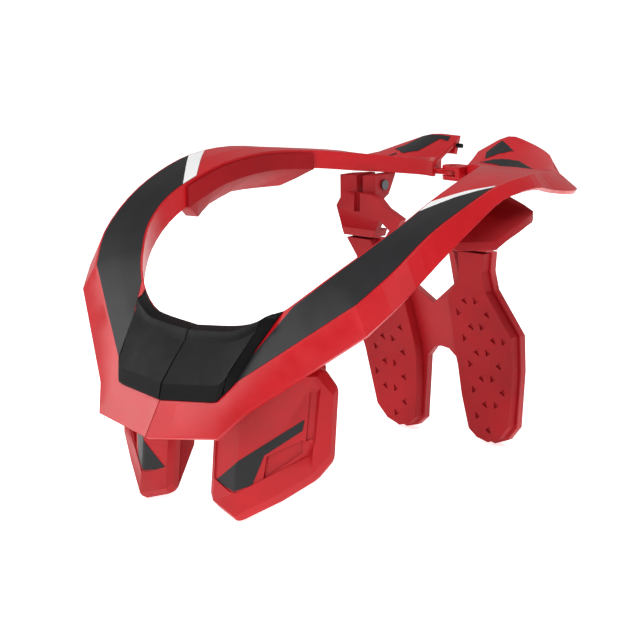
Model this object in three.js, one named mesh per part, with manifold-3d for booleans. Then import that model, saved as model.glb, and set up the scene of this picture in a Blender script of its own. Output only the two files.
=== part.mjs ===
// Motocross neck brace: two hard collar halves that meet at a seam in front and turn on a pin behind,
// chest plates in front, a back strut with two padded legs behind. Millimetres, +Z up.
// The wearer looks along -Y with the left side at +X. Every left piece is made once and mirrored.
import * as THREE from 'three';
import { mergeVertices } from 'three/addons/utils/BufferGeometryUtils.js';
import Module from 'manifold-3d';

const wasm = await Module();
wasm.setup();

// Driving sizes of the collar
const halfWidth = 126.5;      // mirror plane to the widest point of a shoulder
const collarLength = 304.3;   // nose to the rear edge of the table
const rimHeight = 189.2;      // highest line of the arms above the surface it stands on
const flankDepth = 18.3;      // height of the slanted flank at the nose
const wallDepth = 19;         // height of the inner wall at the nose
const collarWall = 3;         // moulded wall of the collar
const seamHalf = 0.2;         // half of the parting line between the two halves
const gap = 0.3;              // clearance between pieces that touch
const splits = 3;             // sections drawn between two rows of the tables
const roundSides = 24;        // sides of pins, eyes and bores
const padGrid = 8;            // cells of the front pad in each direction

// Driving sizes of the pads and plates
const frontPadThick = 5;
const frontPadBevel = 0.09;   // bevelled border, as a share of the pad
const shoulderPadProud = 2.5; // how far the shoulder pad stands inside the inner wall
const shoulderPadTop = 2;     // rim to the upper edge of the shoulder pad
const shoulderPadLip = 5;     // height of the shoulder pad's free outer edge
const shoulderPadRoot = 7;    // width of the shoulder pad right under the inner wall
const chestWidth = 69.8;      // inner to outer edge of a chest plate
const chestHeight = 92;       // floor to the highest corner of a chest plate
const chestInner = 15.5;      // mirror plane to the inner edge
const chestTurn = 25.3;       // how far the outer edge of a chest plate lies behind its front ridge
const chestPlateThick = 6;
const chestFoamThick = 12;
const chestFoamRise = 24;     // slanted lower end of the chest foam
const chestFoamLow = 5;       // lower edge of a chest plate to the foam above it
const chestFoamReach = 0.8;   // outer edge of the chest foam, as a share of chestWidth
const chestBevel = 4;
const chestLean = 0.1;        // backward lean of the chest plates
const chestSetback = 17.7;    // plate's front ridge at the floor to the inner wall behind it
const chestArmWidth = 14;
const chestArmThick = 7;
const chestArmAcross = 0.28;  // inner side of the arm, as a share of chestWidth
const chestArmAhead = 0.8;    // how far it stands in front of the inner wall, as a share of its thickness
const chestArmFoot = 0.52;    // its lower end, as a share of chestHeight
const chestArmBelow = 2.6;    // its upper end under the inner rim, in walls of the collar

// Driving sizes of the back strut
const legHalfSpan = 67;       // mirror plane to the widest point of a leg
const strutBow = 30.6;        // how far the crease lies in front of the leg tips
const strutPlate = 5;
const backPadThick = 7;
const strutStep = 5;          // thickness of the shelf above the back pads
const tipBehind = 21.1;       // leg tips behind the pivot
const pivotDrop = 24.7;       // highest line of the arms to the strut's pivot
const shelfDrop = 7.5;        // pivot to the shelf under it
const pivotFromRear = 53.5;   // rear edge of the collar to the pivot
const pivotRadius = 2.5;
const lugDepth = 14;          // front to back of the lug
const lugThick = 4.4;
const lugAcross = 0.7164;     // middle of the lug that hangs in the fork, as a share of legHalfSpan
const forkDepth = 24;         // front to back of the fork
const cheekOuter = 10.5;      // thickness of the outer cheek at its front
const cheekInner = 7.1;
const forkRise = 6.8;         // pivot to the top of the fork
const forkFoot = 13;          // pivot to the lowest point of a cheek
const notchDrop = 16.5;       // pivot to the bottom of the notch under the lug
const notchDepth = 3;
const lugReach = 10;          // how far the lug runs on above the fork, into the top skin
const screwHeadRadius = 3.3;
const screwHeadThick = 1.2;

// Driving sizes of the rear hinge
const hingeX = -2;
const hingeFromRear = 27;     // rear edge of the collar to the hinge's axis
const hingeRadius = 7;
const eyeRadius = 6.5;
const hingePinRadius = 2.2;
const hingeDrop = 20.9;       // highest line of the arms to the underside of the hinge block
const hingeHeight = 9.1;
const tongueThick = 3.2;
const blockLength = 10.6;     // hinge axis to the flat side of the block
const tenonLength = 14;
const tenonDepth = 8;         // front to back
const tenonHeight = 4;
const tenonFront = 1;         // hinge axis to the front of the tenon
const webThick = 6.5;         // webs in the channels that hold the tongue and the tenon
const webBorder = 2.5;        // web round the tenon
const webFront = 4;           // hinge axis to the front of the web behind the tongue
const webSpace = 4;           // flat side of the block to the web
const bumperRadius = 1.5;
const bumperLength = 4;
const hornX = 0.14;           // mirror plane to the flat ends of the horns, as a share of halfWidth
const bumperPlace = { y: 0.987, z: 0.988 }; // shares of collarLength and rimHeight

// Places that follow from the sizes above
const noseY = -0.024 * collarLength;
const rearY = noseY + collarLength;
const pivotY = rearY - pivotFromRear;
const strutBack = pivotY + tipBehind;
const hingeY = rearY - hingeFromRear;
const pivotHeight = rimHeight - pivotDrop;
const strutHeight = pivotHeight - shelfDrop;
const forkTop = pivotHeight + forkRise;
const lugX = lugAcross * legHalfSpan;
const hingeBottom = rimHeight - hingeDrop;
const hingeTop = hingeBottom + hingeHeight;

const red = { color: 0xc2202a, roughness: 0.42, metalness: 0 };
const darkRed = { color: 0xa01c22, roughness: 0.6, metalness: 0 };
const padBlack = { color: 0x1b1b1b, roughness: 0.7, metalness: 0 };
const screwGrey = { color: 0x6a6a6c, roughness: 0.35, metalness: 0.9 };

// Rows of the collar from the nose seam to the rear. The inner rim, the outer rim and the foot of the
// flank are shares of halfWidth (x), collarLength (y, from the nose) and rimHeight (z); footX, footY and
// footZ are steps from the outer rim and inner is the wall's height, as shares of flankDepth and wallDepth.
const collarRows = [
  { inX: 0.000, inY: 0.149, inZ: 0.566, outX: 0.000, outY: 0.036, outZ: 0.361,
    footX: 0.00, footY: -0.60, footZ: 1.00, inner: 1.00 },
  { inX: 0.285, inY: 0.157, inZ: 0.587, outX: 0.315, outY: 0.054, outZ: 0.377,
    footX: 0.45, footY: -0.44, footZ: 0.88, inner: 1.00 },
  { inX: 0.427, inY: 0.178, inZ: 0.632, outX: 0.391, outY: 0.081, outZ: 0.441,
    footX: 0.57, footY: -0.23, footZ: 0.74, inner: 1.00 },
  { inX: 0.522, inY: 0.205, inZ: 0.687, outX: 0.617, outY: 0.139, outZ: 0.560,
    footX: 0.54, footY: -0.16, footZ: 0.77, inner: 1.00 },
  { inX: 0.609, inY: 0.243, inZ: 0.748, outX: 0.844, outY: 0.198, outZ: 0.681,
    footX: 0.51, footY: -0.11, footZ: 0.80, inner: 0.97 },
  { inX: 0.696, inY: 0.297, inZ: 0.817, outX: 0.935, outY: 0.259, outZ: 0.775,
    footX: 0.45, footY: -0.05, footZ: 0.80, inner: 0.95 },
  { inX: 0.747, inY: 0.369, inZ: 0.882, outX: 0.974, outY: 0.343, outZ: 0.872,
    footX: 0.38, footY: -0.05, footZ: 0.82, inner: 0.84 },
  { inX: 0.747, inY: 0.445, inZ: 0.933, outX: 0.998, outY: 0.438, outZ: 0.941,
    footX: 0.27, footY: 0.00, footZ: 0.60, inner: 0.74 },
  { inX: 0.731, inY: 0.524, inZ: 0.973, outX: 0.992, outY: 0.533, outZ: 0.987,
    footX: 0.22, footY: 0.00, footZ: 0.42, inner: 0.68 },
  { inX: 0.664, inY: 0.622, inZ: 0.997, outX: 0.964, outY: 0.639, outZ: 1.000,
    footX: 0.22, footY: 0.11, footZ: 0.41, inner: 0.63 },
  { inX: 0.545, inY: 0.708, inZ: 0.994, outX: 0.859, outY: 0.733, outZ: 0.985,
    footX: 0.33, footY: 0.27, footZ: 0.55, inner: 0.61 },
  { inX: 0.411, inY: 0.783, inZ: 0.980, outX: 0.735, outY: 0.839, outZ: 0.966,
    footX: 0.71, footY: 0.22, footZ: 0.60, inner: 0.61 },
  { inX: 0.316, inY: 0.829, inZ: 0.970, outX: 0.618, outY: 0.912, outZ: 0.945,
    footX: 1.00, footY: -0.04, footZ: 0.43, inner: 0.58 },
  { inX: 0.229, inY: 0.862, inZ: 0.961, outX: 0.474, outY: 0.979, outZ: 0.986,
    footX: 0.16, footY: -0.11, footZ: 0.55, inner: 0.55 },
  { inX: 0.150, inY: 0.887, inZ: 0.953, outX: 0.316, outY: 0.993, outZ: 1.020,
    footX: 0.00, footY: -0.19, footZ: 0.66, inner: 0.53 },
];
// The last row of each half, and the valley line of the rear table for the last rows of both
const endRows = {
  left: { inX: 0.095, inY: 0.900, inZ: 0.944, outX: 0.032, outY: 0.970, outZ: 0.978,
          footX: 0.00, footY: -0.22, footZ: 0.49, inner: 0.50 },
  right: { inX: 0.119, inY: 0.894, inZ: 0.946, outX: 0.140, outY: 1.000, outZ: 1.020,
           footX: 0.00, footY: -0.22, footZ: 0.66, inner: 0.50 },
};
const leftHornRow = { inX: 0.115, inY: 0.895, inZ: 0.947, outX: 0.172, outY: 1.000, outZ: 1.032,
  footX: 0.00, footY: -0.22, footZ: 0.66, inner: 0.52 };
const valleyRows = [
  { row: 12, x: 0.569, y: 0.885, z: 0.951 },
  { row: 13, x: 0.443, y: 0.887, z: 0.953 },
  { row: 14, x: 0.300, y: 0.889, z: 0.956 },
];
const valleyEnds = {
  left: [{ x: 0.158, y: 0.915, z: 0.958 }, { x: 0.063, y: 0.934, z: 0.957 }],
  right: [{ x: 0.130, y: 0.918, z: 0.958 }],
};
const firstSmoothRow = 4;     // the outer rim is straight between the folds in front of this row
const crownShare = 0.004;     // rise of the top face between its rims, as a share of rimHeight

const padRowOuter = 1;        // row where the front pad ends on the outer rim
const padRowInner = 2.25;     // row where the front pad ends on the inner rim
const padLift = 0.5;          // front pad above the top face

const point = (x, y, z) => new THREE.Vector3(x, y, z);

const collarPoint = (x, y, z) => point(x * halfWidth, noseY + y * collarLength, z * rimHeight);

function mesh(name, geometry, look) {
  const body = new THREE.Mesh(geometry, new THREE.MeshStandardMaterial(look));
  body.name = name;
  return body;
}

// A closed mesh in three.js as a solid that can be joined and cut
function solidOf(geometry) {
  const bare = new THREE.BufferGeometry();
  bare.setAttribute('position', geometry.getAttribute('position').clone());
  if (geometry.index) bare.setIndex(geometry.index.clone());
  const merged = mergeVertices(bare, 1e-4);
  const source = new wasm.Mesh({
    numProp: 3,
    vertProperties: new Float32Array(merged.getAttribute('position').array),
    triVerts: new Uint32Array(merged.index.array),
  });
  return new wasm.Manifold(source);
}

function geometryOf(solid) {
  const source = solid.getMesh();
  const geometry = new THREE.BufferGeometry();
  geometry.setAttribute('position', new THREE.BufferAttribute(new Float32Array(source.vertProperties), 3));
  geometry.setIndex(new THREE.BufferAttribute(new Uint32Array(source.triVerts), 1));
  geometry.computeVertexNormals();
  return geometry;
}

// A geometry from points and faces, turned so that its faces point out
function closedGeometry(points, faces) {
  let volume = 0;
  for (const [a, b, c] of faces) volume += points[a].dot(points[b].clone().cross(points[c]));
  const turned = volume < 0 ? faces.map(([a, b, c]) => [a, c, b]) : faces;
  const geometry = new THREE.BufferGeometry();
  geometry.setAttribute('position', new THREE.Float32BufferAttribute(points.flatMap((p) => p.toArray()), 3));
  geometry.setIndex(turned.flat());
  geometry.computeVertexNormals();
  return geometry;
}

// Rings of equal length joined into a closed body; capPlane gives the two coordinates of an end cap
function loft(rings, capPlane) {
  const count = rings[0].length;
  const faces = [];
  for (let r = 0; r + 1 < rings.length; r++) {
    for (let i = 0; i < count; i++) {
      const a = r * count + i;
      const b = r * count + (i + 1) % count;
      faces.push([a, b, b + count], [a, b + count, a + count]);
    }
  }
  const addCap = (ringIndex, keepsOrder) => {
    const flat = rings[ringIndex].map(capPlane);
    const turn = Math.sign(THREE.ShapeUtils.area(flat));
    for (const corners of THREE.ShapeUtils.triangulateShape(flat, [])) {
      const same = Math.sign(THREE.ShapeUtils.area(corners.map((i) => flat[i]))) === turn;
      const face = corners.map((i) => ringIndex * count + i);
      faces.push(same === keepsOrder ? face : face.reverse());
    }
  };
  addCap(0, false);
  addCap(rings.length - 1, true);
  return closedGeometry(rings.flat(), faces);
}

function mirrored(geometry) {
  const copy = geometry.clone();
  copy.deleteAttribute('normal');
  copy.scale(-1, 1, 1);
  const index = Array.from(copy.index.array);
  for (let i = 0; i < index.length; i += 3) [index[i + 1], index[i + 2]] = [index[i + 2], index[i + 1]];
  copy.setIndex(index);
  copy.computeVertexNormals();
  return copy;
}

// The rims, foot and valley of one half as points for every section
function collarSections(side) {
  const tail = side === 'left' ? [leftHornRow, endRows.left] : [endRows.right];
  const rows = [...collarRows, ...tail];
  const inner = rows.map((r) => collarPoint(r.inX, r.inY, r.inZ));
  const outer = rows.map((r) => collarPoint(r.outX, r.outY, r.outZ));
  const foot = rows.map((r, i) => outer[i].clone().add(
    point(r.footX * flankDepth, r.footY * flankDepth, -r.footZ * flankDepth)));
  const valley = rows.map((r, i) => inner[i].clone().lerp(outer[i], 0.5).add(
    point(0, 0, crownShare * rimHeight)));
  for (const v of valleyRows) valley[v.row] = collarPoint(v.x, v.y, v.z);
  valleyEnds[side].forEach((v, i) => { valley[collarRows.length + i] = collarPoint(v.x, v.y, v.z); });
  const rear = (line) => line.slice(firstSmoothRow);
  const curves = {
    inner: new THREE.CatmullRomCurve3(inner),
    outer: new THREE.CatmullRomCurve3(rear(outer)),
    foot: new THREE.CatmullRomCurve3(rear(foot)),
    valley: new THREE.CatmullRomCurve3(rear(valley)),
  };
  const straight = { outer, foot, valley };
  const at = (name, row) => {
    if (name === 'inner') return curves.inner.getPoint(row / (rows.length - 1));
    if (row >= firstSmoothRow) {
      return curves[name].getPoint((row - firstSmoothRow) / (rows.length - 1 - firstSmoothRow));
    }
    const whole = Math.floor(row);
    return straight[name][whole].clone().lerp(straight[name][whole + 1], row - whole);
  };
  const wallAt = (row) => {
    const whole = Math.min(Math.floor(row), rows.length - 2);
    return wallDepth * THREE.MathUtils.lerp(rows[whole].inner, rows[whole + 1].inner, row - whole);
  };
  return (row) => ({
    inner: at('inner', row), outer: at('outer', row), foot: at('foot', row), valley: at('valley', row),
    wall: wallAt(row), last: rows.length - 1,
  });
}

// One section of the collar: an open channel with a top skin, a flank and an inner wall
function channelRing(section, along) {
  const { inner, outer, valley, foot, wall } = section;
  const across = outer.clone().sub(inner);
  across.addScaledVector(along, -across.dot(along)).normalize();
  const up = across.clone().cross(along).normalize();
  if (up.z < 0) up.negate();
  const flank = foot.clone().sub(outer);
  const run = new THREE.Vector2(flank.dot(across), flank.dot(up)).normalize();
  const inward = new THREE.Vector2(run.y, -run.x);
  const reach = (-collarWall - inward.y * collarWall) / run.y;
  const move = (from, a, u) => from.clone().addScaledVector(across, a).addScaledVector(up, u);
  const low = point(0, 0, -wall);
  const inside = across.clone().setZ(0).normalize().multiplyScalar(collarWall);
  return [
    inner,
    valley,
    outer,
    foot,
    move(foot, inward.x * collarWall, inward.y * collarWall),
    move(outer, inward.x * collarWall + run.x * reach, -collarWall),
    move(valley, 0, -collarWall),
    move(inner, 0, -collarWall).add(inside),
    inner.clone().add(low).add(inside),
    inner.clone().add(low),
  ];
}

// The direction in which a half runs at a row
function runAt(sectionAt, row) {
  const last = sectionAt(0).last;
  if (row <= 0) return point(1, 0, 0);
  if (row >= last) return point(-1, 0, 0);
  const before = sectionAt(Math.max(0, row - 1 / splits));
  const after = sectionAt(Math.min(last, row + 1 / splits));
  return after.inner.add(after.outer).sub(before.inner).sub(before.outer).normalize();
}

function collarHalf(side) {
  const sectionAt = collarSections(side);
  const steps = sectionAt(0).last * splits;
  const rings = [];
  for (let i = 0; i <= steps; i++) {
    const ring = channelRing(sectionAt(i / splits), runAt(sectionAt, i / splits));
    if (i === 0) ring.forEach((p) => { p.x = seamHalf; });
    rings.push(ring);
  }
  return loft(rings, (p) => new THREE.Vector2(p.y, p.z));
}

// A box between two corners
function block(low, high) {
  const size = high.clone().sub(low);
  const geometry = new THREE.BoxGeometry(size.x, size.y, size.z);
  geometry.translate((low.x + high.x) / 2, (low.y + high.y) / 2, (low.z + high.z) / 2);
  return geometry;
}

// A round bar that starts at a point and runs along +X or +Z
function bar(radius, length, axis, start) {
  const geometry = new THREE.CylinderGeometry(radius, radius, length, roundSides);
  geometry.translate(0, length / 2, 0);
  if (axis === 'x') geometry.rotateZ(-Math.PI / 2);
  if (axis === 'z') geometry.rotateX(Math.PI / 2);
  geometry.translate(start.x, start.y, start.z);
  return geometry;
}

function extruded(outline, holes, depth) {
  const corners = (line) => line.map(([u, v]) => new THREE.Vector2(u, v));
  const shape = new THREE.Shape(corners(outline));
  holes.forEach((hole) => shape.holes.push(new THREE.Path(corners(hole))));
  return new THREE.ExtrudeGeometry(shape, { depth, bevelEnabled: false });
}

// An outline in x and z that runs through along y
function frontCutter(outline, holes, yLow, yHigh) {
  return extruded(outline, holes, yHigh - yLow).rotateX(Math.PI / 2).translate(0, yHigh, 0);
}

// An outline in y and z that runs through along x
function sideCutter(outline, xLow, xHigh) {
  const turn = new THREE.Matrix4().makeBasis(point(0, 1, 0), point(0, 0, 1), point(1, 0, 0));
  return extruded(outline, [], xHigh - xLow).applyMatrix4(turn).translate(xLow, 0, 0);
}

// The black pad on one half: a bevelled slab on the top face of the collar, from the seam to a slanted side
function frontPad(sectionAt) {
  const at = (u, v, lift) => {
    const row = u * THREE.MathUtils.lerp(padRowOuter, padRowInner, v);
    const section = sectionAt(row);
    const along = runAt(sectionAt, row);
    const across = section.outer.clone().sub(section.inner);
    const up = across.addScaledVector(along, -across.dot(along)).cross(along).normalize();
    if (up.z < 0) up.negate();
    const half = v < 0.5 ? section.outer.clone().lerp(section.valley, 2 * v)
      : section.valley.clone().lerp(section.inner, 2 * v - 1);
    const p = half.addScaledVector(up, lift);
    p.x = Math.max(p.x, seamHalf);
    return p;
  };
  const count = padGrid;
  const faces = [];
  const points = [];
  const index = (layer, i, j) => layer * (count + 1) ** 2 + i * (count + 1) + j;
  for (const layer of [0, 1]) {
    for (let i = 0; i <= count; i++) {
      for (let j = 0; j <= count; j++) {
        const u = i / count;
        const v = j / count;
        const inset = layer * frontPadBevel;
        points.push(at(u * (1 - inset), inset + v * (1 - 2 * inset), padLift + layer * frontPadThick));
      }
    }
  }
  const quad = (a, b, c, d) => faces.push([a, b, c], [a, c, d]);
  for (let i = 0; i < count; i++) {
    for (let j = 0; j < count; j++) {
      quad(index(0, i, j), index(0, i, j + 1), index(0, i + 1, j + 1), index(0, i + 1, j));
      quad(index(1, i, j), index(1, i + 1, j), index(1, i + 1, j + 1), index(1, i, j + 1));
    }
    quad(index(0, i, 0), index(0, i + 1, 0), index(1, i + 1, 0), index(1, i, 0));
    quad(index(0, i + 1, count), index(0, i, count), index(1, i, count), index(1, i + 1, count));
    quad(index(0, 0, i + 1), index(0, 0, i), index(1, 0, i), index(1, 0, i + 1));
    quad(index(0, count, i), index(0, count, i + 1), index(1, count, i + 1), index(1, count, i));
  }
  return closedGeometry(points, faces);
}

// The value at a place in a table of rows, between its neighbours
function tableAt(table, key, place, value) {
  const next = table.findIndex((r) => r[key] >= place);
  if (next <= 0) return table[Math.max(next, 0)][value];
  const [low, high] = [table[next - 1], table[next]];
  return THREE.MathUtils.mapLinear(place, low[key], high[key], low[value], high[value]);
}

// The foam under an arm: from the inner rim it slopes outwards and down to a free lower edge, given by
// shares of halfWidth, collarLength and rimHeight; wide is the width of its underside at that edge
const shoulderRows = [
  { row: 6.67, x: 0.806, y: 0.474, z: 0.793, wide: 10 },
  { row: 7.00, x: 0.846, y: 0.494, z: 0.790, wide: 8 },
  { row: 7.67, x: 0.938, y: 0.538, z: 0.788, wide: 4 },
  { row: 8.00, x: 0.953, y: 0.568, z: 0.811, wide: 3 },
  { row: 8.33, x: 0.952, y: 0.606, z: 0.830, wide: 3 },
  { row: 8.67, x: 0.946, y: 0.632, z: 0.843, wide: 3 },
  { row: 9.00, x: 0.923, y: 0.660, z: 0.847, wide: 3 },
  { row: 9.33, x: 0.885, y: 0.684, z: 0.850, wide: 3 },
  { row: 9.67, x: 0.781, y: 0.712, z: 0.859, wide: 3 },
  { row: 10.00, x: 0.667, y: 0.709, z: 0.889, wide: 3 },
];
function shoulderPad(sectionAt) {
  const rings = shoulderRows.map((r) => {
    const section = sectionAt(r.row);
    const out = section.outer.clone().sub(section.inner).setZ(0).normalize();
    const { inner, wall } = section;
    const at = (across, down) => inner.clone().addScaledVector(out, across).setZ(inner.z - down);
    const under = wall + gap;
    const edge = collarPoint(r.x, r.y, r.z);
    const outer = edge.clone().addScaledVector(out, r.wide);
    const lip = outer.clone().add(point(0, 0, shoulderPadLip));
    return [
      at(-shoulderPadProud, shoulderPadTop), at(-gap, shoulderPadTop), at(-gap, under),
      at(shoulderPadRoot, under), lip, outer, edge, at(-shoulderPadProud, under),
    ];
  });
  return loft(rings, (p) => new THREE.Vector2(p.x, p.z));
}

const wallY = noseY + collarRows[1].inY * collarLength;
const chestFront = wallY - chestSetback;
// Plan of the chest plates from the inner to the outer edge: shares of chestWidth, chestTurn and chestHeight
const chestPlan = [
  { x: 0.000, y: 0.094, low: 0.100, high: 0.654 },
  { x: 0.060, y: 0.077, low: 0.063, high: 0.756 },
  { x: 0.337, y: 0.000, low: 0.000, high: 0.909 },
  { x: 0.640, y: 0.457, low: 0.143, high: 0.971 },
  { x: 0.890, y: 0.834, low: 0.289, high: 0.978 },
  { x: 1.000, y: 1.000, low: 0.413, high: 0.859 },
];
const chestEdgeFace = 0.5;    // depth of the side edges' front corner, as a share of the bevel

// A slab along that plan; a bevel above zero sets its face back round the border, and without one the
// lower end may slant up to the back
function chestSlab(front, thick, bevel, rise = 0) {
  const rings = chestPlan.map((r, i) => {
    const edge = i === 0 || i === chestPlan.length - 1;
    const low = r.low * chestHeight;
    const high = r.high * chestHeight;
    const y = chestFront + r.y * chestTurn + front;
    const at = (depth, z) => point(chestInner + r.x * chestWidth, y + depth + chestLean * z, z);
    if (bevel === 0) return [at(thick, low + rise), at(thick, high), at(0, high), at(0, low)];
    const face = edge ? bevel * chestEdgeFace : 0;
    return [
      at(thick, low), at(thick, high), at(bevel, high),
      at(face, high - bevel), at(face, low + bevel), at(bevel, low),
    ];
  });
  return loft(rings, (p) => new THREE.Vector2(p.y, p.z));
}

// The arm from the inner wall down to the back of a chest plate
const chestArmX = chestInner + chestArmAcross * chestWidth;
const chestArmY = wallY - chestArmAhead * chestArmThick;
const chestArmLow = chestArmFoot * chestHeight;
const chestArmHigh = collarRows[1].inZ * rimHeight - chestArmBelow * collarWall;
const chestArm = (grow) => block(
  point(chestArmX - grow, chestArmY - grow, chestArmLow - grow),
  point(chestArmX + chestArmWidth + grow, chestArmY + chestArmThick + grow, chestArmHigh + grow));

// Side line of the strut from the leg tips up: shares of strutHeight and, forward of strutBack, strutBow
const strutLine = [
  { z: -0.02, y: -0.01 },
  { z: 0.083, y: 0.069 },
  { z: 0.331, y: 0.216 },
  { z: 0.484, y: 0.412 },
  { z: 0.669, y: 0.690 },
  { z: 0.835, y: 0.985 },
  { z: 0.842, y: 1.230 },
  { z: 1.000, y: 1.190 },
  { z: 1.040, y: 1.190 },
];
// Outline of the left half of the strut, its hole and its pad: shares of legHalfSpan and strutHeight
const strutHalf = [
  { x: 0.000, z: 0.388 }, { x: 0.089, z: 0.382 }, { x: 0.199, z: 0.334 }, { x: 0.254, z: 0.191 },
  { x: 0.309, z: 0.054 }, { x: 0.418, z: 0.016 }, { x: 0.558, z: 0.000 }, { x: 0.716, z: 0.025 },
  { x: 0.846, z: 0.086 }, { x: 0.925, z: 0.287 }, { x: 1.000, z: 0.487 }, { x: 0.791, z: 0.671 },
  { x: 0.799, z: 0.752 }, { x: 0.873, z: 0.839 }, { x: 0.985, z: 0.959 }, { x: 0.925, z: 1.000 },
  { x: 0.896, z: 1.020 }, { x: 0.576, z: 1.020 }, { x: 0.448, z: 1.006 }, { x: 0.343, z: 0.968 },
  { x: 0.149, z: 0.930 }, { x: 0.333, z: 0.811 }, { x: 0.306, z: 0.675 }, { x: 0.000, z: 0.578 },
];
const strutHole = [
  { x: 0.433, z: 0.917 }, { x: 0.299, z: 0.879 }, { x: 0.400, z: 0.814 }, { x: 0.397, z: 0.708 },
  { x: 0.463, z: 0.729 }, { x: 0.522, z: 0.815 },
];
const backPadOutline = [
  { x: 0.337, z: 0.062 }, { x: 0.427, z: 0.028 }, { x: 0.558, z: 0.014 }, { x: 0.706, z: 0.038 },
  { x: 0.822, z: 0.095 }, { x: 0.901, z: 0.287 }, { x: 0.973, z: 0.485 }, { x: 0.766, z: 0.668 },
  { x: 0.775, z: 0.752 }, { x: 0.845, z: 0.832 }, { x: 0.545, z: 0.832 }, { x: 0.481, z: 0.720 },
  { x: 0.358, z: 0.655 }, { x: 0.290, z: 0.630 }, { x: 0.252, z: 0.382 }, { x: 0.281, z: 0.204 },
];
const strutPoints = (rows, side) => rows.map((r) => [side * r.x * legHalfSpan, r.z * strutHeight]);

// The layer between two depths behind the strut's side line
function strutLayer(front, back) {
  const line = strutLine.map((r) => [strutBack - r.y * strutBow, r.z * strutHeight]);
  const moved = (depth) => line.map(([y, z]) => [y + depth, z]);
  const outline = [...moved(front), ...moved(back).reverse()];
  return solidOf(sideCutter(outline, -legHalfSpan - gap, legHalfSpan + gap));
}

const strutFrontY = strutBack - 2 * strutBow;
const strutRearY = strutBack + strutBow;
const innerCheekX = lugX - lugThick / 2 - gap - cheekInner;
const outerCheekX = lugX + lugThick / 2 + gap;
const boreRadius = pivotRadius + gap;
// The cheeks of the fork seen from above: x from the side beside the lug, as a share of the cheek's
// thickness, and y from the pivot, as a share of forkDepth
const outerCheekPlan = [
  { x: 0, y: -0.533 }, { x: 1, y: -0.708 }, { x: 1, y: -0.229 }, { x: 0.38, y: 0.229 }, { x: 0, y: 0.229 },
];
const innerCheekPlan = [
  { x: 0, y: -0.525 }, { x: 1, y: -0.354 }, { x: 1, y: 0.479 }, { x: 0, y: 0.479 },
];
// A cheek seen from the side: y from the pivot as a share of forkDepth, and z from the pivot as a share
// of forkRise above it and of forkFoot under it
const cheekSide = [
  { y: -0.75, z: 1 }, { y: 0.5, z: 1 }, { y: 0.208, z: -0.5 }, { y: -0.125, z: -0.85 }, { y: -0.75, z: -1 },
];

// The lug round the pivot: flat top, round bottom
function lug() {
  const front = pivotY - lugDepth / 2;
  const x = lugX - lugThick / 2;
  const box = solidOf(block(point(x, front, pivotHeight),
    point(x + lugThick, front + lugDepth, forkTop + lugReach)));
  const round = solidOf(bar(lugDepth / 2, lugThick, 'x', point(x, pivotY, pivotHeight)));
  return box.add(round).subtract(pivotBore);
}
const pivotBore = solidOf(bar(boreRadius, legHalfSpan, 'x',
  point(innerCheekX - screwHeadRadius, pivotY, pivotHeight)));

function cheek(plan, x, thick) {
  const low = pivotHeight - forkFoot;
  const depthAt = (share) => pivotY + share * forkDepth;
  const heightAt = (share) => pivotHeight + share * (share > 0 ? forkRise : forkFoot);
  const outline = plan.map((p) => [x + p.x * thick, depthAt(p.y)]);
  const side = cheekSide.map((p) => [depthAt(p.y), heightAt(p.z)]);
  const upright = solidOf(extruded(outline, [], forkTop - low).translate(0, 0, low));
  return upright.intersect(solidOf(sideCutter(side, 0, legHalfSpan)));
}

function strutBody() {
  const half = strutPoints(strutHalf, 1);
  const outline = [...half, ...strutPoints(strutHalf, -1).slice(1, -1).reverse()];
  const holes = [strutPoints(strutHole, 1), strutPoints(strutHole, -1)];
  const step = strutLine.find((r) => r.y > 1);
  const stepZ = step.z * strutHeight;
  const stepFront = strutBack - step.y * strutBow;
  const shelf = solidOf(block(point(-legHalfSpan, stepFront, stepZ),
    point(legHalfSpan, strutBack - strutBow + strutPlate, stepZ + strutStep)));
  const plate = solidOf(frontCutter(outline, holes, strutFrontY, strutRearY))
    .intersect(strutLayer(0, strutPlate).add(shelf));
  const topFront = strutBack - strutLine.at(-1).y * strutBow;
  const notch = solidOf(block(
    point(lugX - lugThick / 2 - gap, topFront - notchDepth, pivotHeight - notchDrop),
    point(outerCheekX, topFront + notchDepth, forkTop)));
  const fork = cheek(outerCheekPlan, outerCheekX, cheekOuter)
    .add(cheek(innerCheekPlan, innerCheekX + cheekInner, -cheekInner))
    .subtract(pivotBore);
  const both = (solid) => solid.add(solidOf(mirrored(geometryOf(solid))));
  return geometryOf(plate.subtract(both(notch)).add(both(fork)));
}

function backPad() {
  const outline = solidOf(frontCutter(strutPoints(backPadOutline, 1), [], strutFrontY, strutRearY));
  return geometryOf(outline.intersect(strutLayer(-gap - backPadThick, -gap)));
}

function pivotScrew() {
  const start = innerCheekX - gap - screwHeadThick;
  const head = solidOf(bar(screwHeadRadius, screwHeadThick, 'x', point(start, pivotY, pivotHeight)));
  const length = outerCheekX + cheekOuter / 2 - start;
  return geometryOf(head.add(solidOf(bar(pivotRadius, length, 'x', point(start, pivotY, pivotHeight)))));
}

// The hinge behind: a block with a slot on the left half, a tongue with an eye on the right, and a pin
const tongueLow = (hingeBottom + hingeTop - tongueThick) / 2;
const tenon = (grow) => block(
  point(hingeX + blockLength - gap, hingeY + tenonFront - grow, tongueLow - grow),
  point(hingeX + blockLength + tenonLength + grow, hingeY + tenonFront + tenonDepth + grow,
    tongueLow + tenonHeight + grow));
const hingeBore = solidOf(bar(hingePinRadius + gap, 3 * hingeRadius, 'z',
  point(hingeX, hingeY, hingeBottom - hingeRadius)));

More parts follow.
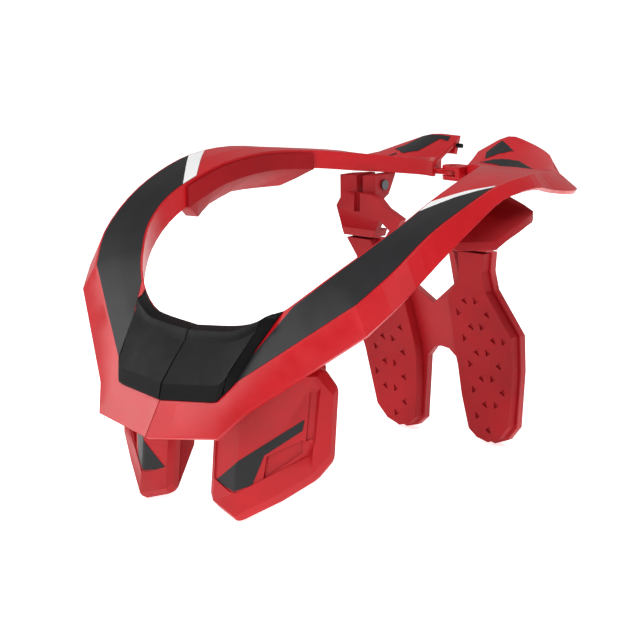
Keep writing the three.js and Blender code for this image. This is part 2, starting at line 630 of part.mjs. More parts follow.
function hingeBlock() {
  const high = hingeTop - hingeBottom;
  const round = solidOf(bar(hingeRadius, high, 'z', point(hingeX, hingeY, hingeBottom)));
  const body = solidOf(block(point(hingeX, hingeY - hingeRadius, hingeBottom),
    point(hingeX + blockLength, hingeY + hingeRadius, hingeTop)));
  const slot = solidOf(block(point(hingeX - 2 * hingeRadius, hingeY - 2 * hingeRadius, tongueLow - gap),
    point(hingeX + eyeRadius + gap, hingeY + 2 * hingeRadius, tongueLow + tongueThick + gap)));
  return geometryOf(round.add(body).subtract(slot).subtract(hingeBore).add(solidOf(tenon(0))));
}

function tongue() {
  const webX = -hornX * halfWidth;
  const eye = solidOf(bar(eyeRadius, tongueThick, 'z', point(hingeX, hingeY, tongueLow)));
  const arm = solidOf(block(point(webX - webThick, hingeY - eyeRadius / 2, tongueLow),
    point(hingeX, hingeY + eyeRadius / 2, tongueLow + tongueThick)));
  const web = solidOf(block(point(webX - webThick, hingeY - webFront, tongueLow),
    point(webX, hingeY + hingeRadius, hingeTop + collarWall / 2)));
  return eye.add(arm).subtract(hingeBore).add(web);
}

function tenonSocket() {
  const x = hingeX + blockLength + webSpace;
  const y = hingeY + tenonFront;
  const web = solidOf(block(point(x, y - webBorder, tongueLow - webBorder),
    point(x + webThick, y + tenonDepth + webBorder, hingeTop + 0.4 * collarWall)));
  return web.subtract(solidOf(tenon(gap)));
}

// The hard half of one side, with the arm to its chest plate
function frameSolid(side) {
  const grownPlate = solidOf(chestSlab(-chestTurn, chestTurn + chestPlateThick + gap, 0));
  const half = solidOf(collarHalf(side)).add(solidOf(chestArm(0)).subtract(grownPlate));
  if (side === 'right') return solidOf(mirrored(geometryOf(half))).add(tongue());
  return half.add(lug()).add(tenonSocket());
}

const foamFront = chestPlateThick + gap;
const foamSpace = block(point(0, noseY, chestFoamLow),
  point(chestInner + chestFoamReach * chestWidth, rearY, rimHeight));
const armNotch = block(
  point(chestArmX - gap, chestArmY - chestTurn, chestArmLow - gap),
  point(chestArmX + chestArmWidth + gap, chestArmY + chestTurn, chestArmHigh + gap));
const leftPieces = {
  front_pad: [frontPad(collarSections('left')), padBlack],
  shoulder_pad: [shoulderPad(collarSections('left')), darkRed],
  chest_plate: [chestSlab(0, chestPlateThick, chestBevel), red],
  chest_foam: [geometryOf(solidOf(chestSlab(foamFront, chestFoamThick, 0, chestFoamRise))
    .subtract(solidOf(armNotch)).intersect(solidOf(foamSpace))), darkRed],
  back_pad: [backPad(), darkRed],
  pivot_screw: [pivotScrew(), screwGrey],
};

const brace = new THREE.Group();
brace.add(mesh('left_frame', geometryOf(frameSolid('left')), red));
brace.add(mesh('right_frame', geometryOf(frameSolid('right')), red));
for (const [name, [geometry, look]] of Object.entries(leftPieces)) {
  brace.add(mesh(`left_${name}`, geometry, look));
  brace.add(mesh(`right_${name}`, mirrored(geometry), look));
}
brace.add(mesh('back_strut', strutBody(), red));
brace.add(mesh('hinge_block', hingeBlock(), red));
brace.add(mesh('hinge_pin', bar(hingePinRadius, hingeTop - hingeBottom - 2 * gap, 'z',
  point(hingeX, hingeY, hingeBottom + gap)), screwGrey));
brace.add(mesh('rear_bumper', bar(bumperRadius, bumperLength, 'x',
  collarPoint(-hornX, bumperPlace.y, bumperPlace.z).add(point(gap, 0, 0))), padBlack));

// The whole is centred on the floor
const bounds = new THREE.Box3().setFromObject(brace);
const middle = bounds.getCenter(point(0, 0, 0));
for (const body of brace.children) body.geometry.translate(-middle.x, -middle.y, -bounds.min.z);

export default brace;
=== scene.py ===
import math

import bmesh
import bpy
from mathutils import Matrix, Vector
from mathutils.bvhtree import BVHTree
from mathutils.geometry import delaunay_2d_cdt, interpolate_bezier


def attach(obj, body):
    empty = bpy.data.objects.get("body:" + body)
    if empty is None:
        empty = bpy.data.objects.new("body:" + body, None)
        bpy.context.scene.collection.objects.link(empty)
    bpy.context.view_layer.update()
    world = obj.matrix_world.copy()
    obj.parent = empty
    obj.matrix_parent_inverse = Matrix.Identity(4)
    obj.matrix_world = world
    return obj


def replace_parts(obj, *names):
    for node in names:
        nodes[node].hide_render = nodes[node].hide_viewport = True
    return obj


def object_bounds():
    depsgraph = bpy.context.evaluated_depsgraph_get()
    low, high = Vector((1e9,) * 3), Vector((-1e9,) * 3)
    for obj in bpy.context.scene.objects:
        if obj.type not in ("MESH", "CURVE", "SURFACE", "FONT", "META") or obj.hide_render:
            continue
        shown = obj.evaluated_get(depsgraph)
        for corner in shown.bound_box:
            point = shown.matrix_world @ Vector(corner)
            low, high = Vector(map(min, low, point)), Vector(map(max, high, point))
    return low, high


# Motocross neck brace. Lengths in metres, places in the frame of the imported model:
# +X is the wearer's left, -Y the way the wearer faces, and the floor is at z = 0.
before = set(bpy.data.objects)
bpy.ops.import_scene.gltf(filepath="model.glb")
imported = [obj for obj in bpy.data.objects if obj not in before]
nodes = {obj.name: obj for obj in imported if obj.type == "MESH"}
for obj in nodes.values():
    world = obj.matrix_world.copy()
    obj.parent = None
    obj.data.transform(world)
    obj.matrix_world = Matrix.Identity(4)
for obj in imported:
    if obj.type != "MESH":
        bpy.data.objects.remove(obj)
cadBox = [[float(v) for v in corner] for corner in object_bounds()]
scene = bpy.context.scene
mm = 0.001
sides = {"left": 1, "right": -1}


class Wave:
    # one output of a shader node, ready for sums and products
    def __init__(self, tree, socket):
        self.tree = tree
        self.socket = socket

    def combine(self, operation, first, second=None):
        node = self.tree.nodes.new("ShaderNodeMath")
        node.operation = operation
        for place, value in enumerate((first, second)):
            if isinstance(value, Wave):
                self.tree.links.new(value.socket, node.inputs[place])
            elif value is not None:
                node.inputs[place].default_value = value
        return Wave(self.tree, node.outputs[0])

    def __add__(self, other):
        return self.combine("ADD", self, other)

    def __radd__(self, other):
        return self.combine("ADD", other, self)

    def __sub__(self, other):
        return self.combine("SUBTRACT", self, other)

    def __rsub__(self, other):
        return self.combine("SUBTRACT", other, self)

    def __mul__(self, other):
        return self.combine("MULTIPLY", self, other)

    def __rmul__(self, other):
        return self.combine("MULTIPLY", other, self)


class Look:
    # one material with its Principled shader
    def __init__(self, name):
        self.material = bpy.data.materials.new(name)
        self.material.use_nodes = True
        self.tree = self.material.node_tree
        self.shader = self.tree.nodes["Principled BSDF"]
        self.place = self.out(self.node("ShaderNodeTexCoord"), "Object")

    def node(self, kind, settings=None, inputs=None):
        made = self.tree.nodes.new(kind)
        for name, value in (settings or {}).items():
            setattr(made, name, value)
        for name, value in (inputs or {}).items():
            self.feed(made.inputs[name], value)
        return made

    def feed(self, socket, value):
        if isinstance(value, Wave):
            self.tree.links.new(value.socket, socket)
        else:
            socket.default_value = value

    def out(self, made, name=0):
        return Wave(self.tree, made.outputs[name])

    def noise(self, size, detail=3.0, roughness=0.5):
        # cloudy values from 0 to 1, whose features are about size metres
        return self.out(self.node("ShaderNodeTexNoise", None, {
            "Vector": self.place, "Scale": 1 / size, "Detail": detail, "Roughness": roughness}))

    def band(self, wave, low, high):
        # wave stretched so that low gives 0 and high gives 1
        return self.out(self.node("ShaderNodeMapRange", {"clamp": True}, {
            "Value": wave, "From Min": low, "From Max": high}))

    def mix(self, share, first, second):
        made = self.node("ShaderNodeMix", {"data_type": "RGBA"})
        self.feed(made.inputs[0], share)
        self.feed(made.inputs[6], first)
        self.feed(made.inputs[7], second)
        return self.out(made, 2)

    def finish(self, values, height=None, step=0.0, edge=0.0):
        for name, value in values.items():
            self.feed(self.shader.inputs[name], value)
        normal = None
        if edge:
            normal = self.out(self.node("ShaderNodeBevel", {"samples": 6}, {"Radius": edge}))
        if height is not None:
            inputs = {"Height": height, "Strength": 1.0, "Distance": step}
            if normal:
                inputs["Normal"] = normal
            normal = self.out(self.node("ShaderNodeBump", None, inputs))
        if normal:
            self.feed(self.shader.inputs["Normal"], normal)
        return self.material


def linear(hexColour):
    # a screen colour such as "c8202a" as the light it stands for
    parts = [int(hexColour[i:i + 2], 16) / 255 for i in (0, 2, 4)]
    return tuple(p / 12.92 if p < 0.04045 else ((p + 0.055) / 1.055) ** 2.4 for p in parts) + (1.0,)


# Finishes: colour, its darker tone, gloss, and the grain of the mould or foam
finishes = {
    "shellRed": {"colour": "c4121d", "tone": "b30e18", "rough": 0.34, "spread": 0.08, "grain": 0.5 * mm,
                 "depth": 0.008 * mm, "edge": 0.7 * mm, "specular": 0.34},
    "restRed": {"colour": "b8121b", "tone": "a20e16", "rough": 0.46, "spread": 0.08, "grain": 0.45 * mm,
                "depth": 0.012 * mm, "edge": 0.5 * mm, "specular": 0.3},
    "legRed": {"colour": "ad171f", "tone": "98121a", "rough": 0.48, "spread": 0.08, "grain": 0.45 * mm,
               "depth": 0.012 * mm, "edge": 0.8 * mm, "specular": 0.26},
    "foamRed": {"colour": "a1141c", "tone": "8b0f16", "rough": 0.64, "spread": 0.10, "grain": 0.7 * mm,
                "depth": 0.05 * mm, "edge": 0.6 * mm, "specular": 0.18},
    "printBlack": {"colour": "222224", "tone": "1b1b1d", "rough": 0.42, "spread": 0.07, "grain": 0.5 * mm,
                   "depth": 0.006 * mm, "edge": 0.0, "specular": 0.24},
    "printWhite": {"colour": "f1f1f1", "tone": "e6e6e6", "rough": 0.42, "spread": 0.05, "grain": 0.5 * mm,
                   "depth": 0.004 * mm, "edge": 0.0, "specular": 0.5},
    "padBlack": {"colour": "0f0f10", "tone": "0a0a0b", "rough": 0.5, "spread": 0.10, "grain": 0.6 * mm,
                 "depth": 0.02 * mm, "edge": 0.5 * mm, "specular": 0.13},
    "screwGrey": {"colour": "6e6e71", "tone": "525255", "rough": 0.34, "spread": 0.12, "grain": 0.3 * mm,
                  "depth": 0.01 * mm, "edge": 0.2 * mm, "specular": 0.5},
}


def makeFinish(name, values):
    look = Look(name)
    clouds = look.noise(45 * mm, 2.0)
    scuffs = look.noise(6 * mm, 4.0, 0.65)
    grain = look.noise(values["grain"], 2.0)
    share = look.band(clouds * 0.75 + scuffs * 0.25, 0.35, 0.68)
    colour = look.mix(share, linear(values["tone"]), linear(values["colour"]))
    rough = values["rough"] + (look.band(scuffs, 0.3, 0.75) - 0.5) * values["spread"]
    sockets = {"Base Color": colour, "Roughness": rough, "Specular IOR Level": values["specular"]}
    if name == "screwGrey":
        sockets["Metallic"] = 0.9
    if name == "foamRed":
        cells = look.out(look.node("ShaderNodeTexVoronoi", None, {
            "Vector": look.place, "Scale": 1 / (1.4 * mm)}))
        grain = grain * 0.5 + cells * 0.5
    return look.finish(sockets, grain, values["depth"], values["edge"])


paint = {name: makeFinish(name, values) for name, values in finishes.items()}
print("finishes made")


def objectOf(name, mesh, finish, body):
    piece = bpy.data.objects.new(name, mesh)
    scene.collection.objects.link(piece)
    mesh.materials.clear()
    mesh.materials.append(paint[finish])
    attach(piece, body)
    return piece


def meshOf(name, points, faces):
    mesh = bpy.data.meshes.new(name)
    mesh.from_pydata([tuple(p) for p in points], [], faces)
    mesh.update()
    return mesh


def prism(front, back):
    # a closed body between two outlines of equal length
    count = len(front)
    faces = [list(range(count)), list(range(2 * count - 1, count - 1, -1))]
    faces += [[(i + 1) % count, i, i + count, (i + 1) % count + count] for i in range(count)]
    return front + back, faces


def outward(mesh):
    # faces turned to point out
    work = bmesh.new()
    work.from_mesh(mesh)
    bmesh.ops.recalc_face_normals(work, faces=work.faces)
    work.to_mesh(mesh)
    work.free()
    return mesh


def smoothByAngle(mesh, degrees):
    mesh.shade_smooth()
    mesh.set_sharp_from_angle(angle=math.radians(degrees))


def weldedCopy(node, name):
    # the solid's own surface, joined up and with flat regions as single faces
    work = bmesh.new()
    work.from_mesh(nodes[node].data)
    bmesh.ops.remove_doubles(work, verts=work.verts, dist=0.01 * mm)
    bmesh.ops.dissolve_limit(work, angle_limit=math.radians(0.4), verts=work.verts, edges=work.edges)
    bmesh.ops.recalc_face_normals(work, faces=work.faces)
    mesh = bpy.data.meshes.new(name)
    work.to_mesh(mesh)
    work.free()
    return mesh


def applyAll(piece):
    # the piece with its modifiers worked into the mesh
    depsgraph = bpy.context.evaluated_depsgraph_get()
    made = bpy.data.meshes.new_from_object(piece.evaluated_get(depsgraph))
    piece.modifiers.clear()
    piece.data = made
    return piece


def treeOf(node):
    mesh = nodes[node].data
    return BVHTree.FromPolygons([v.co for v in mesh.vertices], [tuple(p.vertices) for p in mesh.polygons])


frameTrees = {side: treeOf(f"{side}_frame") for side in sides}
plateTrees = {side: treeOf(f"{side}_chest_plate") for side in sides}
downward = Vector((0, 0, -1))
backward = Vector((0, 1, 0))


def dropOn(tree, first, second, direction):
    # first and second are x and y from above, or x and z from the front
    start = Vector((first, second, 1)) if direction is downward else Vector((first, -1, second))
    spot, normal, _, _ = tree.ray_cast(start, direction)
    if spot is None:
        return None, None
    return spot, normal if normal.dot(direction) < 0 else -normal


def inside(spot, outline):
    x, y = spot
    hit = False
    for i, (ax, ay) in enumerate(outline):
        bx, by = outline[i - 1]
        if (ay > y) != (by > y) and x < (bx - ax) * (y - ay) / (by - ay) + ax:
            hit = not hit
    return hit


def drape(name, outline, tree, direction, finish, body, lift=0.22 * mm, cell=2.5 * mm):
    # a thin print that lies on a solid: its outline is seen from above or from the front
    border = []
    for i, end in enumerate(outline):
        start = outline[i - 1]
        count = max(1, math.ceil(math.dist(start, end) / cell))
        border += [tuple(a + (b - a) * k / count for a, b in zip(start, end)) for k in range(count)]
    spots = [Vector(p) for p in border]
    edges = [(i, (i + 1) % len(border)) for i in range(len(border))]
    low = [min(p[k] for p in border) for k in (0, 1)]
    high = [max(p[k] for p in border) for k in (0, 1)]
    for i in range(int((high[0] - low[0]) / cell) + 1):
        for j in range(int((high[1] - low[1]) / cell) + 1):
            spot = (low[0] + (i + 0.5) * cell, low[1] + (j + 0.5) * cell)
            if inside(spot, border) and min(math.dist(spot, b) for b in border) > 0.45 * cell:
                spots.append(Vector(spot))
    flat, _, faces, _, _, _ = delaunay_2d_cdt(spots, edges, [], 1, 1e-7)
    points = []
    for spot in flat:
        place, normal = dropOn(tree, spot.x, spot.y, direction)
        points.append(None if place is None else place + normal * lift)
    kept = [f for f in faces if all(points[i] is not None for i in f)]
    used = sorted({i for f in kept for i in f})
    renamed = {old: new for new, old in enumerate(used)}
    mesh = meshOf(name, [points[i] for i in used], [[renamed[i] for i in f] for f in kept])
    work = bmesh.new()
    work.from_mesh(mesh)
    bmesh.ops.recalc_face_normals(work, faces=work.faces)
    if sum((f.normal.dot(direction) for f in work.faces)) > 0:
        bmesh.ops.reverse_faces(work, faces=work.faces)
    work.to_mesh(mesh)
    work.free()
    mesh.shade_smooth()
    return objectOf(name, mesh, finish, body)


# Hard shells, hinge and strut keep their solids and get the moulded finish
shells = {
    "left_frame": ("left_shell", "shellRed", "collar_left", "frame_plastic", 24),
    "right_frame": ("right_shell", "shellRed", "collar_right", "frame_plastic", 24),
    "back_strut": ("strut_body", "legRed", "strut", "frame_plastic", 24),
    "hinge_block": ("rear_hinge_block", "shellRed", "collar_left", "frame_plastic", 30),
    "hinge_pin": ("rear_hinge_pin", "screwGrey", "collar_left", "screw_metal", 30),
    "rear_bumper": ("rear_rubber_stop", "padBlack", "collar_right", "pad_rubber", 30),
    "left_pivot_screw": ("left_strut_screw", "screwGrey", "strut", "screw_metal", 30),
    "right_pivot_screw": ("right_strut_screw", "screwGrey", "strut", "screw_metal", 30),
}
for node, (name, finish, body, slot, angle) in shells.items():
    mesh = weldedCopy(node, name)
    smoothByAngle(mesh, angle)
    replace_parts(objectOf(name, mesh, finish, body), node)
print("shells, hinge and strut dressed")


# Rims of the collar seen from above, on the left side, from the nose to the rear
collar = {
    "halfWidth": 126.5 * mm,
    "length": cadBox[1][1] - cadBox[0][1],
    "noseY": cadBox[0][1],
    "inner": [(0.000, 0.149), (0.285, 0.157), (0.427, 0.178), (0.522, 0.205), (0.609, 0.243), (0.696, 0.297),
              (0.747, 0.369), (0.747, 0.445), (0.731, 0.524), (0.664, 0.622)],
    "outer": [(0.000, 0.036), (0.315, 0.054), (0.391, 0.081), (0.617, 0.139), (0.844, 0.198), (0.935, 0.259),
              (0.974, 0.343), (0.998, 0.438), (0.992, 0.533), (0.964, 0.639)],
    "folds": 4,            # the outer rim is straight between its folds before this place
    "border": 1.3 * mm,    # red left between a rim and the print
}


def planPoint(share):
    return Vector((share[0] * collar["halfWidth"], collar["noseY"] + share[1] * collar["length"]))


def smoothLine(points, pieces=8):
    made = []
    for i in range(len(points) - 1):
        before = points[max(i - 1, 0)]
        after = points[min(i + 2, len(points) - 1)]
        a, b = points[i], points[i + 1]
        made += interpolate_bezier(a, a + (b - before) / 6, b - (after - a) / 6, b, pieces + 1)[:pieces]
    return [Vector(p[:2]) for p in made] + [points[-1]]


def rimLine(name):
    points = [planPoint(share) for share in collar[name]]
    if name == "inner":
        return smoothLine(points)
    return points[:collar["folds"]] + smoothLine(points[collar["folds"]:])


innerRim = rimLine("inner")
outerRim = rimLine("outer")


def offsetLine(line, step):
    # the line moved to its left by step
    made = []
    for i, point in enumerate(line):
        run = (line[min(i + 1, len(line) - 1)] - line[max(i - 1, 0)]).normalized()
        made.append(point + Vector((-run.y, run.x)) * step)
    return made


def part(line, low, high):
    # the stretch of a line between two y values, cut exactly there
    made = []
    for a, b in zip(line, line[1:]):
        if b.y <= low or a.y >= high or b.y == a.y:
            continue
        for y in (max(a.y, low), min(b.y, high)):
            made.append(a.lerp(b, (y - a.y) / (b.y - a.y)))
    return made


# Print on the arms: where it starts and ends on each rim, as y shares of the collar's length
armPrint = {
    "pad": (0.190, 0.062),       # beside the front pad: inner rim, outer rim
    "blackEnd": (0.415, 0.522),
    "whiteEnd": {"left": (0.452, 0.530), "right": (0.452, 0.566)},
}


def printOutline(start, end):
    toY = lambda share: collar["noseY"] + share * collar["length"]
    inner = part(offsetLine(innerRim, -collar["border"]), toY(start[0]), toY(end[0]))
    outer = part(offsetLine(outerRim, collar["border"]), toY(start[1]), toY(end[1]))
    return inner + outer[::-1]


for side, sign in sides.items():
    for kind, start, end, finish in (
            ("black", armPrint["pad"], armPrint["blackEnd"], "printBlack"),
            ("white", armPrint["blackEnd"], armPrint["whiteEnd"][side], "printWhite")):
        outline = [(sign * p.x, p.y) for p in printOutline(start, end)]
        drape(f"{side}_{kind}_print", outline, frameTrees[side], downward, finish, f"collar_{side}")

# Dark marks on the rear ears, in millimetres from the mirror plane and the nose
earMarks = {
    "left_ear_mark_upper": ("left", [(20, 300), (16, 289), (21.5, 280.5), (38, 289)]),
    "left_ear_mark_lower": ("left", [(19, 277.2), (50, 279.5), (66, 273), (44, 269.5)]),
    "right_ear_mark": ("right", [(-55.4, 281.9), (-42.5, 274.5), (-33.6, 279.6), (-29.2, 296.8), (-22, 296.3),
                                 (-24, 301.5), (-47, 300.5)]),
    "right_ear_tail": ("right", [(-62, 254.5), (-46.7, 273.2), (-48.2, 275.4)]),
}
for name, (side, outline) in earMarks.items():
    spots = [(x * mm, collar["noseY"] + y * mm) for x, y in outline]
    drape(name, spots, frameTrees[side], downward, "printBlack", f"collar_{side}", cell=2 * mm)
print("prints laid on the collar")


# Front pad: black rubber over the nose, split at the seam, with bevelled borders and a rolled neck edge
frontPad = {
    "seam": 0.25 * mm,
    "outerEnd": 0.076,           # where it ends on each rim, as y shares of the collar's length
    "innerEnd": 0.182,
    "thick": 5.2 * mm,
    "lip": 1.3 * mm,             # upright edge under the bevel
    "bevel": 5.4 * mm,
    "roll": 8.5 * mm,            # width of the rolled edge at the neck
    "rise": 1.8 * mm,            # how far the roll stands above the panel
    "base": 0.35 * mm,
}


def atLength(line, share):
    lengths = [(b - a).length for a, b in zip(line, line[1:])]
    target = share * sum(lengths)
    for a, b, length in zip(line, line[1:], lengths):
        if target <= length:
            return a.lerp(b, target / length)
        target -= length
    return line[-1]


def makeFrontPad(side, sign):
    values = frontPad
    toY = lambda share: collar["noseY"] + share * collar["length"]
    inner = part(offsetLine(innerRim, -0.2 * mm), -1, toY(values["innerEnd"]))
    outer = part(offsetLine(outerRim, 1.0 * mm), -1, toY(values["outerEnd"]))
    tree = frameTrees[side]

    def softNormal(spot):
        total = Vector()
        for dx in (-5 * mm, 0, 5 * mm):
            for dy in (-3 * mm, 0, 3 * mm):
                _, normal = dropOn(tree, max(abs(spot.x) + dx, 1 * mm) * sign, spot.y + dy, downward)
                if normal and normal.z > 0.4:
                    total += normal
        return total.normalized()

    # columns from the seam to the side, rows from the outer rim to the neck: (share, step in metres, height)
    columns = [(0, 0, 0.0), (0, 0, 1.0)] + [(k / 12, 0, 1.0) for k in range(1, 12)]
    columns += [(1, -values["bevel"], 1.0), (1, -0.5 * mm, values["lip"] / values["thick"]), (1, 0, 0.0)]
    rows = [(0, 0, 0.0), (0, 0.3 * mm, values["lip"]), (0, values["bevel"], values["thick"])]
    rows += [(k / 12, 0, values["thick"]) for k in range(3, 10)]
    for k in range(7):
        turn = math.pi * k / 6
        rows.append((1, -values["roll"] * (1 - k / 6), values["thick"] * (1 - max(0, k - 3) / 6)
                     + values["rise"] * math.sin(turn)))
    rows.append((1, 0, 0.0))
    grid = []
    for share, step, height in columns:
        line = []
        for rowShare, rowStep, rowHeight in rows:
            a, b = atLength(outer, share), atLength(inner, share)
            a = Vector((max(a.x, values["seam"]), a.y))
            b = Vector((max(b.x, values["seam"]), b.y))
            across = (b - a).normalized()
            spot = a.lerp(b, rowShare) + across * rowStep
            nearer = atLength(outer, 0.95).lerp(atLength(inner, 0.95), rowShare)
            farther = atLength(outer, 1).lerp(atLength(inner, 1), rowShare)
            spot += (farther - nearer).normalized() * step
            spot.x *= sign
            place, _ = dropOn(tree, spot.x, spot.y, downward)
            if place is None:
                place = line[-1][0].copy() if line else Vector((spot.x, spot.y, 0))
            line.append((place, softNormal(spot), rowHeight * height))
        grid.append(line)
    points, faces = [], []
    for layer in (0, 1):
        for line in grid:
            for place, normal, height in line:
                point = place + normal * (values["base"] if layer == 0 else max(values["base"], height))
                point.x = sign * max(sign * point.x, values["seam"])
                points.append(point)
    across, count = len(rows), len(columns)
    for i in range(count - 1):
        for j in range(across - 1):
            a = i * across + j
            quad = [a, a + 1, a + across + 1, a + across]
            faces.append(quad)
            faces.append([q + count * across for q in reversed(quad)])
    mesh = meshOf(f"{side}_neck_pad", points, faces)
    work = bmesh.new()
    work.from_mesh(mesh)
    bmesh.ops.remove_doubles(work, verts=work.verts, dist=0.02 * mm)
    bmesh.ops.recalc_face_normals(work, faces=work.faces)
    work.to_mesh(mesh)
    work.free()
    smoothByAngle(mesh, 22)
    pad = objectOf(f"{side}_neck_pad", mesh, "padBlack", f"collar_{side}")
    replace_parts(pad, f"{side}_front_pad")
    return pad


for side, sign in sides.items():
    makeFrontPad(side, sign)
print("front pads made")


# Foam under the arms, and behind the chest plates: rounded copies of the solids' forms
softRounding = {"arm": 1.6 * mm, "chest": 1.2 * mm, "leg": 1.4 * mm}


def roundedPiece(node, name, finish, body, radius, segments=3, angle=30):
    piece = objectOf(name, weldedCopy(node, name), finish, body)
    bevel = piece.modifiers.new("round", "BEVEL")
    bevel.width = radius
    bevel.segments = segments
    bevel.limit_method = "ANGLE"
    bevel.angle_limit = math.radians(angle)
    applyAll(piece)
    piece.data.materials.clear()
    piece.data.materials.append(paint[finish])
    smoothByAngle(piece.data, 35)
    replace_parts(piece, node)
    return piece


for side in sides:
    body = f"collar_{side}"
    for node, name, radius in (("shoulder_pad", "arm_foam", softRounding["arm"]),
                               ("chest_foam", "chest_backing", softRounding["chest"])):
        foam = roundedPiece(f"{side}_{node}", f"{side}_{name}", "foamRed", body, radius)
print("arm and chest foam made")


# Chest plates: sunk face, pocket and groove cut into the plate, and a dark label
chest = {
    "pocket": [(54.1, 39.3), (72.0, 49.6), (72.3, 42.7), (53.0, 26.4)],
    "groove": [(74.2, 77.0), (78.2, 77.6), (77.2, 51.0), (73.6, 49.0)],
    "label": [(20.1, 21.0), (37.4, 18.0), (47.5, 22.6), (52.8, 39.8), (71.6, 54.9), (72.4, 61.3)],
    "face": [[(19.8, 22.6), (33.9, 17.4), (39.4, 17.5), (39.4, 79.6), (19.8, 65.5)],
             [(38.7, 17.4), (41.0, 18.6), (75.4, 41.0), (78.4, 48.4), (79.4, 79.0), (74.0, 84.6),
              (38.7, 79.6)]],
    "corner": 4.5 * mm,
    "cornerAngle": 18,
    "faceDepth": 0.8 * mm,
    "pocketDepth": 2.6 * mm,
    "grooveDepth": 2.0 * mm,
}


def cut(piece, mesh):
    cutter = bpy.data.objects.new("cutter", mesh)
    scene.collection.objects.link(cutter)
    step = piece.modifiers.new("cut", "BOOLEAN")
    step.operation = "DIFFERENCE"
    step.solver = "EXACT"
    step.object = cutter
    applyAll(piece)
    bpy.data.objects.remove(cutter)


def depthCutter(outline, tree, sign, depth):
    # a pocket that follows the plate's face at that depth
    spots = [dropOn(tree, sign * x * mm, z * mm, backward) for x, z in outline]
    front = [s + n * 4 * mm for s, n in spots]
    back = [s - n * depth for s, n in spots]
    return outward(meshOf("cutter", *prism(front, back)))


def roundCorners(mesh):
    # the corners of a plate's outline, seen from the front, made round
    work = bmesh.new()
    work.from_mesh(mesh)
    corners = []
    for edge in work.edges:
        run = edge.verts[0].co - edge.verts[1].co
        if len(edge.link_faces) == 2 and abs(run.normalized().y) > 0.9:
            if edge.calc_face_angle() > math.radians(chest["cornerAngle"]):
                corners.append(edge)
    bmesh.ops.bevel(work, geom=corners, offset=chest["corner"], segments=4, profile=0.5, affect="EDGES",
                    clamp_overlap=True)
    work.to_mesh(mesh)
    work.free()
    return mesh


for side, sign in sides.items():
    body = f"collar_{side}"
    name = f"{side}_chest_rest"
    mesh = roundCorners(weldedCopy(f"{side}_chest_plate", name))
    plate = objectOf(name, mesh, "restRed", body)
    for outline in chest["face"]:
        cut(plate, depthCutter(outline, plateTrees[side], sign, chest["faceDepth"]))
    cut(plate, depthCutter(chest["pocket"], plateTrees[side], sign, chest["pocketDepth"]))
    cut(plate, depthCutter(chest["groove"], plateTrees[side], sign, chest["grooveDepth"]))
    plate.data.materials.clear()
    plate.data.materials.append(paint["restRed"])
    smoothByAngle(plate.data, 20)
    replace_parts(plate, f"{side}_chest_plate")
    label = [(sign * x * mm, z * mm) for x, z in chest["label"]]
    drape(f"{side}_chest_label", label, plateTrees[side], backward, "printBlack", body,
          0.2 * mm - chest["faceDepth"])
print("chest plates made")


# Back pads: foam on the legs of the strut, with rows of small triangular pits
backPad = {
    "pitch": 17.3,       # millimetres between the pits of a column
    "columns": [("right", 23.2, 0.0), ("left", 29.8, -8.7), ("right", 39.5, -8.1), ("left", 45.5, -16.1),
                ("right", 54.7, -16.1)],   # where a triangle points, its x, and its drop under the top
    "lean": 0.07,        # how far the columns move outwards, per millimetre down
    "top": 105.9,
    "low": 8.0,
    "height": 5.0,
    "width": 3.8,
    "depth": 1.1 * mm,
    "border": 2.4,       # clear of the pad's edge
    "facetAngle": 4,     # bends of the pad sharper than this stay as edges, in degrees
}


def pitCutters(sign, tree):
    values = backPad
    corners, faces = [], []
    for points, x, drop in values["columns"]:
        z = values["top"] + drop
        while z > values["low"]:
            half, wide, border = values["height"] / 2, values["width"], values["border"]
            left = x + values["lean"] * (values["top"] - z)
            flat, tip = (left, left + wide) if points == "right" else (left + wide, left)
            triangle = [(flat, z - half), (flat, z + half), (tip, z)]
            spots = [dropOn(tree, sign * px * mm, pz * mm, backward) for px, pz in triangle]
            around = [dropOn(tree, sign * (px + dx) * mm, (pz + dz) * mm, backward)[0]
                      for px, pz in triangle for dx in (-border, border) for dz in (-border, border)]
            z -= values["pitch"]
            if any(place is None for place, _ in spots) or any(place is None for place in around):
                continue
            first = len(corners)
            front = [s + n * 2 * mm for s, n in spots]
            made, sidesOf = prism(front, [s - n * values["depth"] for s, n in spots])
            corners += made
            faces += [[first + i for i in face] for face in sidesOf]
    return outward(meshOf("cutter", corners, faces))


for side, sign in sides.items():
    node = f"{side}_back_pad"
    tree = treeOf(node)
    pad = roundedPiece(node, f"{side}_leg_pad", "foamRed", "strut",
                       softRounding["leg"])
    cut(pad, pitCutters(sign, tree))
    pad.data.materials.clear()
    pad.data.materials.append(paint["foamRed"])
    smoothByAngle(pad.data, backPad["facetAngle"])
print("back pads made")


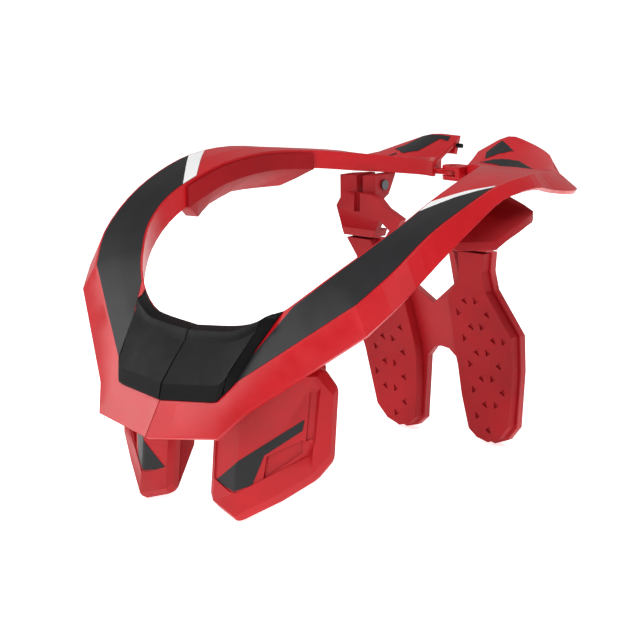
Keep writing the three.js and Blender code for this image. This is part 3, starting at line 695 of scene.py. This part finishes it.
# Camera, floor and light
camera = {
    "place": (912.566 * mm, -994.477 * mm, 357.372 * mm),
    "right": (0.734874, 0.678109, -0.011307),
    "up": (-0.119858, 0.146265, 0.981958),
    "ahead": (-0.667528, 0.720260, -0.188763),
    "lens": 128.57,
}
lens = bpy.data.cameras.new("camera")
lens.lens = camera["lens"]
lens.sensor_width = 36
eye = bpy.data.objects.new("camera", lens)
scene.collection.objects.link(eye)
axes = [Vector(camera["right"]), Vector(camera["up"]), -Vector(camera["ahead"])]
eye.matrix_world = Matrix.Translation(camera["place"]) @ Matrix(axes).transposed().to_4x4()
scene.camera = eye

studio = {
    "floorSize": 40.0,
    "floorColour": "ffffff",
    "glow": 0.75,          # the floor's own light, which keeps it white
    "sky": 0.30,
    "lights": [   # place, size, watts
        ((0.8, -0.5, 1.6), 0.9, 15),
        ((-1.3, -0.9, 0.9), 0.8, 12),
        ((0.2, -1.6, 0.5), 0.7, 4),
        ((0.0, 1.2, 1.4), 1.2, 8),
    ],
}
floorLook = Look("paleFloor")
half = studio["floorSize"] / 2
floorCorners = [(-half, -half, 0), (half, -half, 0), (half, half, 0), (-half, half, 0)]
floorMesh = meshOf("floor", floorCorners, [[0, 1, 2, 3]])
floor = bpy.data.objects.new("floor", floorMesh)
scene.collection.objects.link(floor)
tint = floorLook.mix(floorLook.noise(0.6), linear("fdfdfd"), linear(studio["floorColour"]))
floorMesh.materials.append(floorLook.finish({"Base Color": tint, "Roughness": 0.9, "Specular IOR Level": 0.1,
                                             "Emission Color": tint, "Emission Strength": studio["glow"]}))

for index, (place, size, watts) in enumerate(studio["lights"]):
    lamp = bpy.data.lights.new(f"softbox{index}", "AREA")
    lamp.size = size
    lamp.energy = watts
    box = bpy.data.objects.new(f"softbox{index}", lamp)
    box.location = place
    box.rotation_euler = (Vector((0, 0, 0.1)) - Vector(place)).to_track_quat("-Z", "Y").to_euler()
    scene.collection.objects.link(box)

world = bpy.data.worlds.new("studio")
world.use_nodes = True
backdrop = world.node_tree.nodes["Background"]
backdrop.inputs["Color"].default_value = (1, 1, 1, 1)
seen = Wave(world.node_tree, world.node_tree.nodes.new("ShaderNodeLightPath").outputs["Is Camera Ray"])
skyLight = seen * (1 - studio["sky"]) + studio["sky"]     # white where it is seen, softer as light
world.node_tree.links.new(skyLight.socket, backdrop.inputs["Strength"])
scene.world = world
scene.view_settings.view_transform = "Standard"
print("camera, floor and light set")
